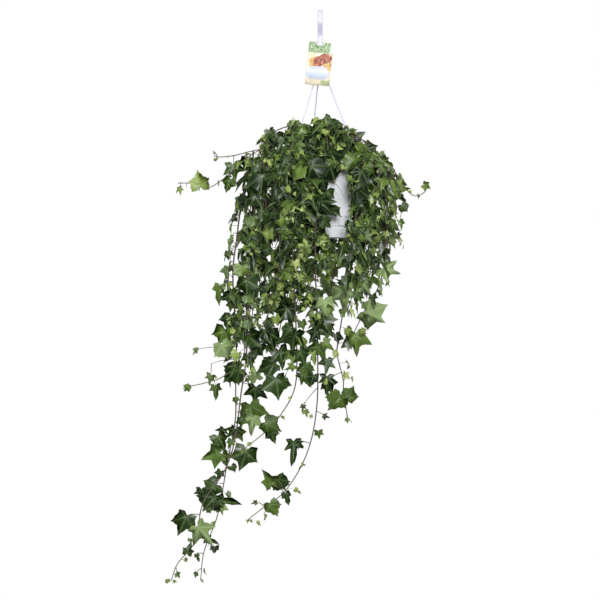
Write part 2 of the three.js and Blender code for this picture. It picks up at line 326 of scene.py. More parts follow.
def printed_front():
    """The printed side, in the card's own UV: u across, v up."""
    surface = Surface("printed_label", (0.8, 0.75, 0.66), 0.5)
    surface.give("Coat Weight", 0.08)
    card = surface.node("UVMap")
    card.uv_map = "card"
    where = card.outputs["UV"]
    up = surface.node("SeparateXYZ", Vector=where).outputs["Y"]

    def patchy(scale, detail, roughness, *stops):
        """Colours that run into each other."""
        return surface.ramp(surface.noise(where, scale, detail, roughness), *stops)

    def band(low, high):
        """1 past `high`, 0 past `low`, smooth between."""
        return surface.rescaled(up, low, high, smooth=True)

    def oval(centre_u, centre_v, radius_u, radius_v, wobble):
        """1 inside an oval, 0 outside, with an uneven edge."""
        place = surface.node("Mapping")
        place.vector_type = "TEXTURE"
        surface.put(place.inputs["Vector"], where)
        surface.put(place.inputs["Location"], (centre_u, centre_v, 0))
        surface.put(place.inputs["Scale"], (radius_u, radius_v, 1))
        reach = surface.node("VectorMath")
        reach.operation = "LENGTH"
        surface.put(reach.inputs[0], place.outputs["Vector"])
        uneven = surface.maths("SUBTRACT", surface.noise(where, 11, 3), 0.5)
        edge = surface.maths("ADD", reach.outputs["Value"], surface.maths("MULTIPLY", uneven, wobble))
        return surface.rescaled(edge, 1.03, 0.93, smooth=True)

    header = patchy(13, 4, 0.6,
                    (0.36, (0.07, 0.15, 0.05)), (0.47, (0.17, 0.27, 0.12)), (0.60, (0.42, 0.49, 0.32)))
    cream = patchy(5, 2, 0.5, (0.3, (0.76, 0.70, 0.58)), (0.7, (0.58, 0.45, 0.28)))
    honey = patchy(9, 3, 0.5, (0.35, (0.34, 0.17, 0.04)), (0.65, (0.66, 0.44, 0.15)))
    warm = patchy(12, 5, 0.7,
                  (0.36, (0.05, 0.010, 0.006)), (0.50, (0.26, 0.05, 0.02)), (0.64, (0.58, 0.22, 0.12)))
    table_top = patchy(8, 3, 0.5, (0.3, (0.44, 0.38, 0.26)), (0.7, (0.62, 0.56, 0.42)))
    bowl = surface.ramp(up, (0.12, (0.28, 0.32, 0.42)), (0.34, (0.56, 0.60, 0.69)))
    bowl_rim = (0.46, 0.50, 0.58)
    sprig = surface.maths("MULTIPLY", oval(0.80, 0.07, 0.20, 0.06, 1.2), 0.85)
    colour = surface.mixed(band(0.735, 0.76), cream, header)
    for share, paint in (
        (oval(0.30, 0.52, 0.24, 0.13, 0.8), honey),
        (oval(0.82, 0.46, 0.16, 0.16, 0.8), honey),
        (oval(0.72, 0.63, 0.27, 0.12, 0.8), warm),
        (oval(0.46, 0.55, 0.22, 0.13, 0.7), warm),
        (oval(0.46, 0.27, 0.50, 0.17, 0.12), bowl),
        (oval(0.46, 0.40, 0.40, 0.035, 0.05), bowl_rim),
        (band(0.15, 0.13), table_top),
        (sprig, (0.20, 0.29, 0.10)),
    ):
        colour = surface.mixed(share, colour, paint)
    surface.give("Base Color", colour)
    surface.bump(surface.noise(where, 160, 2), 0.00003)
    return surface.material


def plain_card():
    """The unprinted back and edges of the card."""
    surface = Surface("label_back", (0.66, 0.65, 0.62), 0.6)
    fibre = surface.noise(surface.place(), 600, 4, 0.6)
    colour = surface.ramp(fibre, (0.3, (0.60, 0.59, 0.56)), (0.7, (0.70, 0.69, 0.66)))
    surface.give("Base Color", colour)
    surface.bump(fibre, 0.00005)
    return surface.material


bm = bmesh.new()
bmesh.ops.create_grid(bm, x_segments=8, y_segments=12, size=0.5)
card_uv = bm.loops.layers.uv.new("card")
for face in bm.faces:
    for loop in face.loops:
        loop[card_uv].uv = (loop.vert.co.x + 0.5, loop.vert.co.y + 0.5)
left = -header_width / 2
for vert in bm.verts:
    across, up = vert.co.x + 0.5, vert.co.y + 0.5
    vert.co = (left + label_width * across, 0, slot_below_top - label_height * (1 - up))
header_foot = slot_below_top - header_height
cuts = [((x, 0, 0), (1, 0, 0)) for x in (-slot_width / 2, slot_width / 2, header_width / 2)]
cuts += [((0, 0, z), (0, 0, 1)) for z in (-slot_height / 2, slot_height / 2, header_foot)]
for point, normal in cuts:
    bmesh.ops.bisect_plane(bm, geom=bm.verts[:] + bm.edges[:] + bm.faces[:], plane_co=point, plane_no=normal)


def cut_away(face):
    """True for a face in the slot, or beside the narrower header."""
    centre = face.calc_center_median()
    in_slot = abs(centre.x) < slot_width / 2 and abs(centre.z) < slot_height / 2
    return in_slot or (centre.x > header_width / 2 and centre.z > header_foot)


bmesh.ops.delete(bm, geom=[face for face in bm.faces if cut_away(face)], context="FACES")
bmesh.ops.recalc_face_normals(bm, faces=bm.faces[:])
if sum(face.normal.y for face in bm.faces) > 0:
    bmesh.ops.reverse_faces(bm, faces=bm.faces[:])
for vert in bm.verts:
    vert.co.y -= edge_curl * (vert.co.x / (label_width / 2)) ** 2 * 0.6
bmesh.ops.rotate(bm, verts=bm.verts[:], cent=(0, 0, 0), matrix=Matrix.Rotation(label_tilt, 3, "Y"))
bmesh.ops.rotate(bm, verts=bm.verts[:], cent=(0, 0, 0), matrix=Matrix.Rotation(-label_lean, 3, "X"))
bmesh.ops.translate(bm, verts=bm.verts[:], vec=(0, -label_card / 2, label_top - slot_below_top))
label = finish_piece("label_card", bm, [printed_front(), plain_card()], "printed_card", "care_label")
thicken = label.modifiers.new("card", "SOLIDIFY")
thicken.thickness = label_card
thicken.offset = -1
thicken.material_offset = 1
thicken.material_offset_rim = 1

# ------------------------------------------------
# Pot. Thin white polypropylene, injection moulded: a tapered wall with faint rings, a lip turned
# down around the rim, a step in to the foot, and holes for the strands and for drainage.

pot_wall = 1.5 * MM
foot_height = 14 * MM
shoulder_radius = 53.5 * MM
foot_radius = 45.5 * MM
shoulder = pot_low.z + foot_height
body_radius = rim_radius - lip_overhang
lip_drop = 7 * MM
wall_rings = (0.16, 0.5, 0.84)
strand_hole = 2.1 * MM
drain_hole = 3 * MM
drain_circle = 30 * MM
pot_facets = 96

pot_plastic = moulded_plastic("pot_plastic", (0.90, 0.91, 0.98), 0.35, pot_low.z + 0.06, pot_low.z + 0.005)


def wall_radius(height):
    """The outer wall's radius at a height over the shoulder, from 0 to 1."""
    return shoulder_radius + (body_radius - shoulder_radius) * height


under_rim = rim_top - rim_thickness
wall_height = under_rim - shoulder - pot_wall
profile = [
    (0, pot_low.z),
    (foot_radius, pot_low.z),
    (foot_radius, shoulder),
    (shoulder_radius, shoulder + pot_wall),
]
for ring in wall_rings:
    for step_up, proud in ((-0.016, 0), (-0.008, 0.7), (0.008, 0.7), (0.016, 0)):
        height = ring + step_up
        profile.append((wall_radius(height) + proud * MM, shoulder + pot_wall + wall_height * height))
profile += [
    (body_radius, under_rim),
    (rim_radius - rim_thickness, under_rim),
    (rim_radius - rim_thickness, rim_top - lip_drop),
    (rim_radius, rim_top - lip_drop),
    (rim_radius, rim_top),
    (body_radius - pot_wall, rim_top),
    (shoulder_radius - pot_wall, shoulder + pot_wall * 2),
    (foot_radius - pot_wall, shoulder + pot_wall),
    (foot_radius - pot_wall, pot_low.z + pot_wall),
    (0, pot_low.z + pot_wall),
]
bm = bmesh.new()
turn_profile(bm, profile, pot_facets)
soften(bm, 0.45 * MM, 2, 0.5)
pot = finish_piece("pot_shell", bm, [pot_plastic], "white_plastic", "pot")

drills = bmesh.new()
holes = [(polar(strand_circle, azimuth, rim_top), strand_hole) for azimuth in strand_azimuths]
holes += [(polar(drain_circle, i * 60, pot_low.z), drain_hole) for i in range(6)]
for centre, radius in holes:
    bmesh.ops.create_cone(
        drills, cap_ends=True, segments=20, radius1=radius, radius2=radius, depth=8 * MM,
        matrix=Matrix.Translation(centre),
    )
drill_mesh = bpy.data.meshes.new("drills")
drills.to_mesh(drill_mesh)
drills.free()
drill = bpy.data.objects.new("drills", drill_mesh)
bpy.context.scene.collection.objects.link(drill)
drilling = pot.modifiers.new("holes", "BOOLEAN")
drilling.operation = "DIFFERENCE"
drilling.solver = "EXACT"
drilling.object = drill
drilled = bpy.data.meshes.new_from_object(pot.evaluated_get(bpy.context.evaluated_depsgraph_get()))
pot.modifiers.remove(drilling)
pot.data = drilled
bpy.data.objects.remove(drill)

# ------------------------------------------------
# Drip saucer. A shallow cup moulded of the same white plastic as the pot, with a thicker floor at
# its edge. It is pushed onto the pot's foot, and catches the water that drains.

saucer_low, saucer_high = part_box("drip_saucer")
saucer_wall = 1.4 * MM
saucer_inner = saucer_high.x - saucer_wall
saucer_well = saucer_inner - 3 * MM
saucer_ledge = saucer_low.z + saucer_wall + 2.6 * MM
bm = bmesh.new()
turn_profile(bm, [
    (0, saucer_low.z),
    (saucer_high.x - 1.5 * MM, saucer_low.z),
    (saucer_high.x - 0.5 * MM, saucer_high.z - 2.5 * MM),
    (saucer_high.x, saucer_high.z - 2.2 * MM),
    (saucer_high.x, saucer_high.z),
    (saucer_inner, saucer_high.z),
    (saucer_inner, saucer_ledge),
    (saucer_well, saucer_ledge),
    (saucer_well, saucer_low.z + saucer_wall),
    (0, saucer_low.z + saucer_wall),
], pot_facets)
soften(bm, 0.4 * MM, 2, 0.5)
finish_piece("saucer_cup", bm, [pot_plastic], "white_plastic", "drip_saucer")

# ------------------------------------------------
# Potting soil. Dark crumbly peat with a few pale grains of perlite, filled to below the rim and
# heaped a little round the stems.

soil_low, soil_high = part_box("potting_soil")


def peat():
    """Dark peat with paler fibres and perlite."""
    surface = Surface("peat", (0.03, 0.02, 0.014), 0.95)
    where = surface.place()
    crumbs = surface.noise(where, 260, 6, 0.7)
    dark, brown, fibre = (0.010, 0.007, 0.005), (0.055, 0.036, 0.022), (0.12, 0.085, 0.05)
    base = surface.ramp(crumbs, (0.3, dark), (0.62, brown), (0.8, fibre))
    grains = surface.node("TexVoronoi", Vector=where, Scale=190).outputs["Distance"]
    perlite = surface.ramp(grains, (0.10, (1, 1, 1)), (0.14, (0, 0, 0)))
    surface.give("Base Color", surface.mixed(perlite, base, (0.55, 0.53, 0.48)))
    surface.bump(crumbs, 0.0012)
    return surface.material


bm = bmesh.new()
soil_gap = 0.3 * MM
soil_facets = 56
foot = foot_radius - pot_wall - soil_gap
waist = shoulder_radius - pot_wall - soil_gap
profile = [(0, soil_low.z), (foot, soil_low.z), (foot, shoulder + 2 * MM), (waist, shoulder + 3.6 * MM)]
profile += [(soil_high.x, soil_high.z - 1 * MM)]
profile += [(soil_high.x * share, soil_high.z) for share in (0.94, 0.82, 0.7, 0.58, 0.46, 0.34, 0.22, 0.1)]
turn_profile(bm, profile + [(0, soil_high.z)], soil_facets)
lumps = random.Random(5)
for vert in bm.verts:
    if vert.co.z > soil_high.z - 0.5 * MM:
        vert.co.z += lumps.uniform(-1.6, 0.3) * MM
top_verts = [vert for vert in bm.verts if vert.co.z > soil_high.z - 2 * MM]
bmesh.ops.smooth_vert(bm, verts=top_verts, factor=0.25, use_axis_z=True)
finish_piece("soil_fill", bm, [peat()], "soil", "potting_soil")

# ------------------------------------------------
# Ivy stems and leaf stalks. Thin woody stems, brown-purple where they are old and green at the
# growing tip. Each shoot is rooted in the soil, arches over the rim and hangs by its own weight.

outer_standoff = 43 * MM
inner_standoff = 17 * MM
root_ring = 34 * MM
root_gap = 1 * MM
rim_crossing_gap = 5 * MM
drift = 0.00055 / MM
taper = 0.0000013 / MM**2
soil_top = soil_high.z


def over_rim(azimuth, lift):
    """The first part of a hanging shoot: up from the soil and out over the rim."""
    return [
        polar(root_ring, azimuth, soil_top + root_gap),
        polar(root_ring + 12 * MM, azimuth, rim_top + lift * 0.6 * MM),
        polar(rim_radius - 4 * MM, azimuth, rim_top + rim_crossing_gap + lift * MM),
    ]


def curtain_point(azimuth, standoff, depth):
    """A point on the curtain, which leans to one side and draws in as it goes down."""
    point = polar((rim_radius + standoff) * (1 - taper * depth * depth), azimuth, rim_top - depth)
    point.x -= drift * depth * depth
    return point


def curtain_route(azimuth, tip_depth, lift, standoff):
    """The route of one shoot of the curtain, which sways a little as it hangs."""
    turn = standoff * 0.35
    route = over_rim(azimuth, lift) + [curtain_point(azimuth, standoff, turn)]
    for share in (0.35, 0.68, 1):
        depth = turn + (tip_depth * MM - turn) * share
        route.append(curtain_point(azimuth + 3 * math.sin(azimuth + share * 9), standoff, depth))
    return route


def vine_route(azimuth, lift, steps):
    """The route of a long vine or a side runner, stepped off from the rim on its own azimuth."""
    start = polar(rim_radius, azimuth, rim_top)
    return over_rim(azimuth, lift) + [start + Vector(step) * MM for step in steps]


def crown_route(azimuth, height, standoff, fall):
    """The route of a crown shoot, which rises from the middle and falls over the others."""
    reach = rim_radius + standoff * MM - root_ring
    return [
        polar(root_ring * 0.4, azimuth, soil_top + root_gap),
        polar(root_ring * 0.5, azimuth, rim_top + height * 0.55 * MM),
        polar(root_ring * 0.9, azimuth, rim_top + height * MM),
        polar(root_ring + reach * 0.6, azimuth, rim_top + height * 0.85 * MM),
        polar(root_ring + reach, azimuth, rim_top + (height * 0.85 - fall) * MM),
    ]


def smooth_route(route, gap=0.006):
    """Evenly spaced points along one smooth curve through the route."""
    ends = [route[0] * 2 - route[1], *route, route[-1] * 2 - route[-2]]
    fine = []
    for a, b, c, d in zip(ends, ends[1:], ends[2:], ends[3:]):
        for i in range(24):
            t = i / 24
            fine.append(b + (c - a) * 0.5 * t + (a * 2 - b * 5 + c * 4 - d) * 0.5 * t * t
                        + (b * 3 - a - c * 3 + d) * 0.5 * t * t * t)
    fine.append(route[-1])
    even = [fine[0]]
    walked = 0.0
    for here, there in zip(fine, fine[1:]):
        walked += (there - here).length
        if walked >= gap:
            even.append(there)
            walked = 0.0
    even.append(fine[-1])
    return even


def bent(start, bend, end, shares):
    """Points at shares of a curve from `start` to `end`, drawn towards `bend`."""
    return [start.lerp(bend, t).lerp(bend.lerp(end, t), t) for t in shares]


# In these rows azimuths are in degrees, and lengths in millimetres. For the curtain: azimuth round
# the rim, how far down the tip hangs, and the lift over the rim.
outer_row = ((-152, 285, 14), (-118, 300, 12), (-101, 215, 16), (-58, 190, 12), (-36, 208, 12), (7, 190, 14),
             (30, 235, 10), (50, 205, 16), (72, 260, 12), (94, 280, 14), (118, 230, 10), (140, 275, 16),
             (161, 240, 12))
inner_row = ((-162, 240, 6), (-126, 250, 5), (-107, 310, 6), (-86, 250, 5), (-42, 170, 5), (-23, 240, 6),
             (11, 260, 5), (60, 290, 6), (83, 200, 6), (128, 300, 5), (171, 300, 6))

# Azimuth, lift, and then places stepped off from the rim on that azimuth.
long_vines = (
    (-172, 12, ((-50, -6, -40), (-69, -8, -142), (-74, -12, -203), (-68, -14, -308), (-69, -16, -388),
                (-70, -18, -447), (-84, -22, -523), (-100, -26, -609), (-123, -30, -671),
                (-129, -32, -721))),
    (-142, 10, ((-42, -34, -50), (-58, -46, -170), (-64, -52, -328), (-73, -54, -395), (-84, -56, -476),
                (-102, -52, -528), (-138, -48, -583), (-151, -46, -646), (-181, -44, -685),
                (-192, -42, -714))),
    (-112, 8, ((-14, -30, -40), (-18, -36, -150), (-12, -36, -300), (-14, -40, -383), (-41, -44, -435),
               (-67, -48, -462), (-100, -50, -488))),
    (-91, 14, ((-2, -34, -36), (-8, -44, -150), (-4, -46, -328), (-6, -46, -422), (-22, -48, -495),
               (-57, -52, -556), (-96, -54, -586), (-120, -54, -605))),
    (-50, 8, ((17, -30, -40), (16, -34, -120), (-2, -32, -200), (-19, -30, -300), (-22, -28, -330),
              (-12, -26, -372), (-11, -26, -395), (-4, -26, -440))),
    (-10, 10, ((36, -16, -40), (36, -24, -142), (26, -26, -209), (4, -28, -247), (-21, -26, -299))),
)
runners = (
    (-166, 30, ((-46, -4, 12), (-84, -6, -22), (-119, -8, -44), (-150, -10, -36), (-166, -10, -36))),
    (-180, 24, ((-40, 0, 22), (-74, 2, 14), (-104, 2, 12), (-106, 2, 20))),
    (-3, 22, ((40, -2, 4), (62, -4, -32), (84, -4, -56), (102, -6, -52), (108, -8, -42))),
    (-133, 4, ((-60, -20, -60), (-72, -30, -180), (-76, -36, -326), (-110, -38, -366), (-145, -38, -379),
               (-176, -38, -385))),
)

# Azimuth, height over the rim, standoff from it, and the fall of the tip.
crown_row = ((-82, 64, 18, 52), (-57, 54, 34, 66), (-26, 46, 32, 54), (17, 46, 46, 44), (66, 58, 22, 50),
             (110, 54, 36, 56), (149, 52, 36, 54), (-164, 64, 34, 46), (-123, 56, 26, 56))

# Each shoot: its kind and its route, in the order of the nodes.
shoots = [("curtain", curtain_route(*entry, outer_standoff)) for entry in outer_row]
shoots += [("inner", curtain_route(*entry, inner_standoff)) for entry in inner_row]
shoots += [("vine", vine_route(*entry)) for entry in long_vines]
shoots += [("runner", vine_route(*entry)) for entry in runners]
shoots += [("crown", crown_route(*entry)) for entry in crown_row]


def bark():
    """Stem skin: brown-purple on old wood, green at the tip, with fine ridges along it."""
    surface = Surface("ivy_stem", (0.07, 0.045, 0.035), 0.6)
    where = surface.place()
    age = surface.node("Attribute")
    age.attribute_name = "age"
    mottle = surface.noise(where, 240, 4, 0.6)
    old = surface.ramp(mottle, (0.35, (0.030, 0.018, 0.014)), (0.65, (0.105, 0.066, 0.050)))
    young = surface.ramp(mottle, (0.35, (0.07, 0.10, 0.03)), (0.65, (0.17, 0.19, 0.08)))
    fade = surface.ramp(age.outputs["Fac"], (0.72, (0, 0, 0)), (1.0, (1, 1, 1)))
    surface.give("Base Color", surface.mixed(fade, old, young))
    surface.bump(surface.noise(where, 900, 3), 0.00025)
    return surface.material


stem_skin = bark()


def grow_stem(bm, age_layer, points, thick, thin, old, young, sides):
    """A tapering stem or stalk. Its age runs from old to young along it."""
    count = len(points) - 1
    start = len(bm.verts)
    sections = [round_section(thick + (thin - thick) * i / count, sides) for i in range(count + 1)]
    grow_tube(bm, points, sections, Vector((0.31, 0.95, 0.07)))
    bm.verts.ensure_lookup_table()
    for vert_number in range(start, len(bm.verts)):
        ring = (vert_number - start) // sides
        bm.verts[vert_number][age_layer] = old + (young - old) * min(ring / count, 1)


# ------------------------------------------------
# Ivy leaves. Waxy five-lobed blades, each on its own stalk: dark green with pale veins when old,
# yellow-green when young, and paler beneath. Old blades are large, and those at a tip are small.

# Half of a blade's edge, from the tip round to the stalk: turn from the tip in degrees, reach.
blade_edge = ((0, 1.0), (7, 0.80), (16, 0.59), (28, 0.48), (40, 0.52), (51, 0.64), (58, 0.76), (66, 0.60),
              (79, 0.45), (93, 0.42), (107, 0.49), (119, 0.56), (146, 0.31), (180, 0.06))
blade_segments = 2 * (len(blade_edge) - 1)
vein_turns = (0, 58, 119)
notches = (2, 3, 4, 8, 9)
mid_ring = 0.52


def flat_blade():
    """A disc of a few dozen faces that every blade is shaped from, with its own UV."""
    bm = bmesh.new()
    bmesh.ops.create_circle(bm, cap_ends=True, cap_tris=True, segments=blade_segments, radius=1)
    spokes = [edge for edge in bm.edges if min(vert.co.length for vert in edge.verts) < 0.5]
    bmesh.ops.subdivide_edges(bm, edges=spokes, cuts=1, use_grid_fill=True)
    rim = [vert for vert in bm.verts if vert.co.length > 0.9]
    order = sorted({round(math.degrees(math.atan2(vert.co.x, vert.co.y)) % 360, 2) for vert in rim})
    turn_of = {}
    half = len(blade_edge) - 1
    for place, raw in enumerate(order):
        number = place if place <= half else blade_segments - place
        side = 1 if place <= half else -1
        turn_of[raw] = (side * blade_edge[number][0], number)
    outline = bm.verts.layers.int.new("edge")
    for vert in bm.verts:
        reach = vert.co.length
        if reach < 0.1:
            vert[outline] = -1
            vert.co = (0, 0, 0)
            continue
        raw = math.degrees(math.atan2(vert.co.x, vert.co.y)) % 360
        nearest = min(order, key=lambda known: min(abs(known - raw), 360 - abs(known - raw)))
        turn, number = turn_of[nearest]
        vert[outline] = number
        scale = 1.0 if reach > 0.9 else mid_ring
        vert.co = (scale * math.sin(math.radians(turn)), scale * math.cos(math.radians(turn)), 0)
    uv = bm.loops.layers.uv.new("blade")
    for face in bm.faces:
        for loop in face.loops:
            loop[uv].uv = loop.vert.co.xy
    bmesh.ops.recalc_face_normals(bm, faces=bm.faces[:])
    if sum(face.normal.z for face in bm.faces) < 0:
        bmesh.ops.reverse_faces(bm, faces=bm.faces[:])
    mesh = bpy.data.meshes.new("flat_blade")
    bm.to_mesh(mesh)
    bm.free()
    return mesh


blank = flat_blade()
luck = random.Random(41)


def add_blade(bm, tone_layer, base, tip, face_to, length, tone, shape):
    """Adds one blade: from `base` towards `tip`, its upper side towards `face_to`."""
    edge_layer = bm.verts.layers.int["edge"]
    first = len(bm.verts)
    bm.from_mesh(blank)
    bm.verts.ensure_lookup_table()
    tip = tip.normalized()
    out = (face_to - tip * face_to.dot(tip)).normalized()
    across = tip.cross(out)
    long_tip = luck.uniform(0.82, 1.06) * (1.24 if shape == "long" else 1.0)
    side_lobe = luck.uniform(0.88, 1.1) * {"ivy": 1.0, "long": 0.74, "young": 0.86}[shape]
    low_lobe = luck.uniform(0.8, 1.12) * (0.8 if shape != "ivy" else 1.0)
    web = luck.uniform(0.92, 1.34) * (0.9 if shape != "ivy" else 1.0)
    fold = luck.uniform(-0.05, 0.5)
    curl = luck.uniform(0.05, 0.6)
    twist = luck.uniform(-0.3, 0.3)
    phase = luck.uniform(0, 6.3)
    ripple = luck.uniform(0.01, 0.045)
    lean = luck.uniform(-0.16, 0.16)
    lopsided = luck.uniform(-0.13, 0.13)
    sweep = luck.uniform(-0.16, 0.12)
    for vert in bm.verts[first:]:
        number = vert[edge_layer]
        u, v = vert.co.x, vert.co.y
        if number >= 0:
            reach = blade_edge[number][1]
            reach *= long_tip if number < 3 else side_lobe if number < 9 else low_lobe
            reach *= web if number in notches else 1.0
            reach *= 1 + lopsided * (1 if u > 0 else -1) * abs(u)
            turn = math.atan2(u, v)
            turn += sweep * math.sin(turn)
            u, v = reach * math.sin(turn), reach * math.cos(turn)
        far = math.hypot(u, v)
        wave = ripple * math.sin(5 * math.atan2(u, v) + phase) * far
        w = fold * abs(u) - curl * far * far + wave + twist * u * v
        u += lean * v * abs(v)
        vert.co = base + (across * u + tip * v + out * w) * length
        vert[tone_layer] = tone


def leaf_skin(name, stops, vein_colour, strength, gloss, roughness):
    """Blade skin. In the blade's UV the veins run from the stalk to the tips of the lobes."""
    surface = Surface(name, (0.05, 0.12, 0.03), roughness)
    maths = surface.maths
    surface.give("Specular IOR Level", gloss)
    tone = surface.node("Attribute")
    tone.attribute_name = "tone"
    blade = surface.node("UVMap")
    blade.uv_map = "blade"
    axes = surface.node("SeparateXYZ", Vector=blade.outputs["UV"]).outputs
    side = maths("ABSOLUTE", axes["X"])
    nearest = None
    for turn in vein_turns:
        sine, cosine = math.sin(math.radians(turn)), math.cos(math.radians(turn))
        off_line = maths("SUBTRACT", maths("MULTIPLY", side, cosine), maths("MULTIPLY", axes["Y"], sine))
        along = maths("ADD", maths("MULTIPLY", side, sine), maths("MULTIPLY", axes["Y"], cosine))
        behind = maths("MULTIPLY", maths("LESS_THAN", along, 0.0), 9.0)
        line = maths("ADD", maths("ABSOLUTE", off_line), behind)
        line = maths("ADD", line, maths("MULTIPLY", along, 0.014))
        nearest = line if nearest is None else maths("MINIMUM", nearest, line)
    vein = surface.rescaled(nearest, 0.045, 0.016, smooth=True)
    halo = surface.rescaled(nearest, 0.11, 0.02, 0, 0.35)
    cells = surface.node("TexVoronoi")
    cells.feature = "DISTANCE_TO_EDGE"
    surface.put(cells.inputs["Vector"], blade.outputs["UV"])
    surface.put(cells.inputs["Scale"], 7.5)
    net = surface.rescaled(cells.outputs["Distance"], 0.09, 0, 0, 0.5)
    patches = surface.noise(surface.place(), 95, 4, 0.6)
    uneven = maths("MULTIPLY", maths("SUBTRACT", patches, 0.5), 0.55)
    base = surface.ramp(maths("ADD", tone.outputs["Fac"], uneven), *stops)
    for lines, share in ((net, 0.10), (halo, strength), (vein, strength)):
        base = surface.mixed(maths("MULTIPLY", lines, share), base, vein_colour)
    surface.give("Base Color", base)
    sunk = maths("ADD", vein, maths("MULTIPLY", net, 0.5))
    surface.bump(maths("SUBTRACT", maths("MULTIPLY", patches, 0.5), sunk), 0.00035, 0.6)
    return surface.material


# The tones run from old, dark blades to young, yellow-green ones.
upper_tones = ((0.0, (0.004, 0.011, 0.003)), (0.25, (0.020, 0.044, 0.008)), (0.5, (0.078, 0.132, 0.020)),
               (0.8, (0.205, 0.270, 0.058)), (1.0, (0.34, 0.41, 0.13)))
under_tones = ((0.0, (0.10, 0.155, 0.065)), (0.5, (0.16, 0.235, 0.09)), (1.0, (0.27, 0.35, 0.13)))
upper_skin = leaf_skin("leaf_upper", upper_tones, (0.12, 0.19, 0.055), 0.28, 0.3, 0.32)
under_skin = leaf_skin("leaf_under", under_tones, (0.30, 0.37, 0.18), 0.6, 0.12, 0.6)


def jitter(amount):
    """A small random vector."""
    return Vector([luck.uniform(-amount, amount) for _ in range(3)])


core_top = rim_top - 30 * MM


def outward(point):
    """The way out of the bush at a point: out from its leaning core, and up over the pot."""
    depth = max(rim_top - point.z, 0)
    core = Vector((-drift * depth * depth, 0, min(point.z, core_top)))
    return (point - core).normalized()


# The curtain parts in front of the pot's wall, and wider at its foot.
parting_left = 17 * MM
parting_right = 49 * MM
parting_top = rim_top - 17 * MM
parting_foot = pot_low.z + 12 * MM
parting_low = pot_low.z - 2 * MM


def in_parting(place):
    """True in front of the pot's wall where the curtain parts and shows it."""
    left = 0 if place.z < parting_foot else parting_left
    return place.y < 0 and left < place.x < parting_right and parting_low < place.z < parting_top


class Shoot:
    """One shoot while it grows: its stem's mesh, its blades' mesh and where its leaves go."""

    def __init__(self, points):
        self.points = points
        self.stem = bmesh.new()
        self.age = self.stem.verts.layers.float.new("age")
        self.blades = bmesh.new()
        self.tone = self.blades.verts.layers.float.new("tone")
        self.blades.verts.layers.int.new("edge")

    def leaf(self, point, side, size, stalk, tone, age, down, shape):
        """A leaf on its stalk, to one side of the stem. A light, young leaf is smaller."""
        size *= 1.14 - 0.5 * tone
        out = outward(point)
        level = Vector((-out.y, out.x, 0))
        if level.length < 0.2:
            level = Vector((1, 0, 0))
        level.normalize()
        reach = level * side * 0.8 + out * luck.uniform(0.35, 1.0) + jitter(0.45)
        reach.z += luck.uniform(-0.1, 0.55)
        reach.normalize()
        elbow = point + reach * stalk * 0.55
        base = point + reach * stalk + Vector((0, 0, -0.22 * stalk * down))
        if in_parting(base):
            return
        curve = bent(point, elbow, base, (0, 0.34, 0.67, 1))
        grow_stem(self.stem, self.age, curve, size * 0.026, size * 0.018, age, min(age + 0.35, 1), 5)
        tip = level * side * luck.uniform(0.0, 1.0) + out * luck.uniform(-0.05, 0.5) + jitter(0.35)
        tip.z -= luck.uniform(0.35, 1.25) * down
        facing = out * 0.85 + Vector((0, -0.16, 0.42)) + jitter(0.8)
        add_blade(self.blades, self.tone, base, tip, facing, size, tone, shape)


def tone_at(age, bias):
    """A leaf's tone: mostly dark on old wood, lighter towards the tip, now and then very light."""
    tone = bias + 0.34 * age * age + luck.gauss(0, 0.30)
    if luck.random() < 0.10:
        tone += 0.42
    return min(max(tone, 0), 1)


# For each kind: thickness of the stem at its root, spacing of its leaves, leaf length old and
# young, stalk length, tone, side twigs to each shoot, and the share of the stem with no leaves.
# Below the open height a shoot's leaves are fewer and smaller.
habits = {
    "curtain": (1.5, 11, 29, 20, 16, 0.20, 6, 0.10),
    # The inner row's tone is set lower than the outer curtain's. That lower tone is painted shade for leaves
    # deep in the bush, added to the leaves' own old-to-young tones.
    "inner": (1.4, 12, 31, 20, 17, 0.09, 5, 0.14),
    "vine": (1.7, 12, 28, 17, 15, 0.22, 5, 0.08),
    "runner": (0.9, 22, 16, 8, 9, 0.40, 1, 0.20),
    "crown": (1.4, 7, 25, 17, 13, 0.09, 6, 0.16),
}
stem_tip = 0.85 * MM
open_height = -630 * MM
open_spacing = 3.6
open_size = 0.62
dome_middle = 14 * MM
dome_top = -179 * MM


def under_dome(point):
    """True under the rounded top of the bush, which is highest a little right of the middle."""
    side = point.x - dome_middle
    slope = 0.9 if side > 0 else 0.36
    return point.z < dome_top - math.hypot(slope * side, 0.4 * point.y)


def grow_shoot(kind, route):
    """Grows one shoot with its leaves and side twigs. A vine's leaves thin out below the curtain."""
    thick, spacing, old_size, young_size, stalk, bias, twigs, bare = habits[kind]
    points = smooth_route(route)
    last = len(points) - 1
    shoot = Shoot(points)
    grow_stem(shoot.stem, shoot.age, points, thick * MM, stem_tip, 0, 1, 8)
    side = 1
    walked = 0.0
    next_leaf = spacing * MM
    reach = 0.85 if kind != "vine" else 0.5
    twig_places = [
        int(last * (0.2 + (reach - 0.2) * (i + luck.random() * 0.8) / twigs)) for i in range(twigs)
    ]
    for i in range(int(last * bare), last + 1):
        walked += (points[i] - points[i - 1]).length
        age = i / last
        if walked >= next_leaf and under_dome(points[i]):
            walked = 0.0
            side = -side
            next_leaf = spacing * MM * luck.uniform(0.7, 1.3)
            size = (old_size + (young_size - old_size) * age) * MM * luck.uniform(0.72, 1.28)
            if points[i].z < open_height:
                next_leaf *= open_spacing
                size *= open_size
            shape = luck.choice(("ivy", "ivy", "ivy", "long"))
            stalk_length = stalk * MM * luck.uniform(0.6, 1.35)
            shoot.leaf(points[i], side, size, stalk_length, tone_at(age, bias), age, 1.0, shape)
        if i in twig_places and under_dome(points[i]):
            grow_twig(shoot, points[i], bias)
    for k in range(2):
        tone = min(bias + 0.5, 1)
        shoot.leaf(points[last], 1 - 2 * k, young_size * 0.5 * MM, 4 * MM, tone, 1, 1.0, "young")
    return shoot


